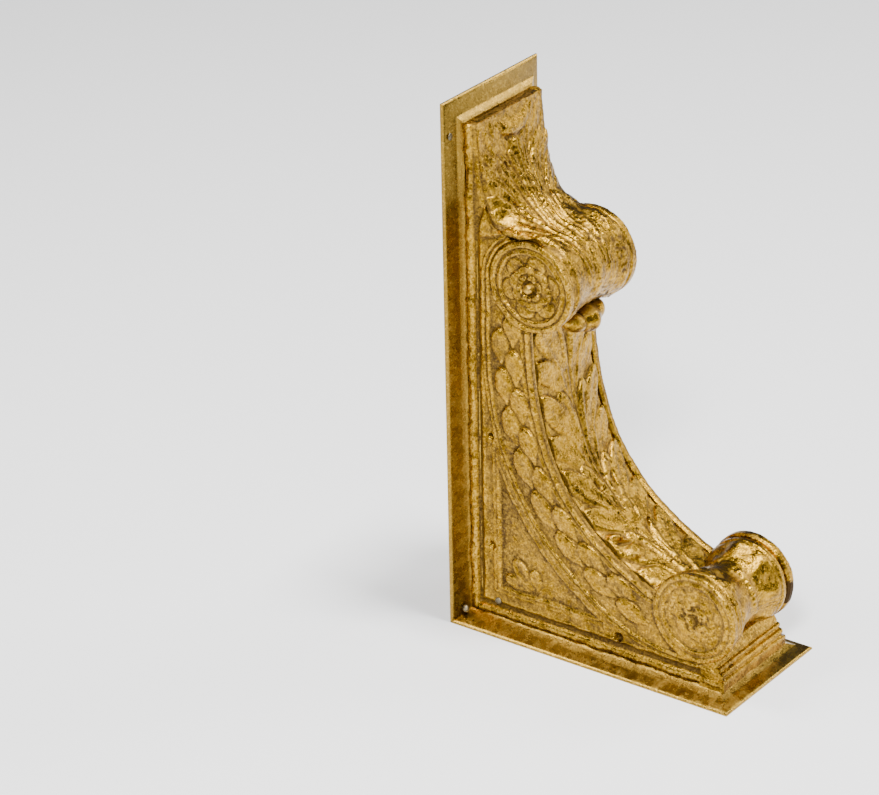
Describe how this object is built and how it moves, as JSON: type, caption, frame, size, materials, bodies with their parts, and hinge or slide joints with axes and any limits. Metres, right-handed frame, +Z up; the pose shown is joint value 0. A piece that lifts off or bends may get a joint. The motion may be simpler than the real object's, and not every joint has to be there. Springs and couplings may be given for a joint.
{
  "type": "cast iron corbel",
  "caption": "Scrolled corbel on a coved wall plate and base plate, with acanthus leaves, two volute spools and husk bands, in gold-painted cast iron.",
  "frame": {"origin": "middle of the bounding box at the underside of the base plate", "axes": "+Z up along the wall plate, +Y out of the back towards the wall, -Y towards the toe, X across the width"},
  "size_m": [0.127, 0.2636, 0.45],
  "materials": {
    "gold_painted_iron": "bronze-gold paint, worn and pitted"
  },
  "bodies": {
    "root": {"corbel_casting": "gold_painted_iron"}
  },
  "joints": []
}
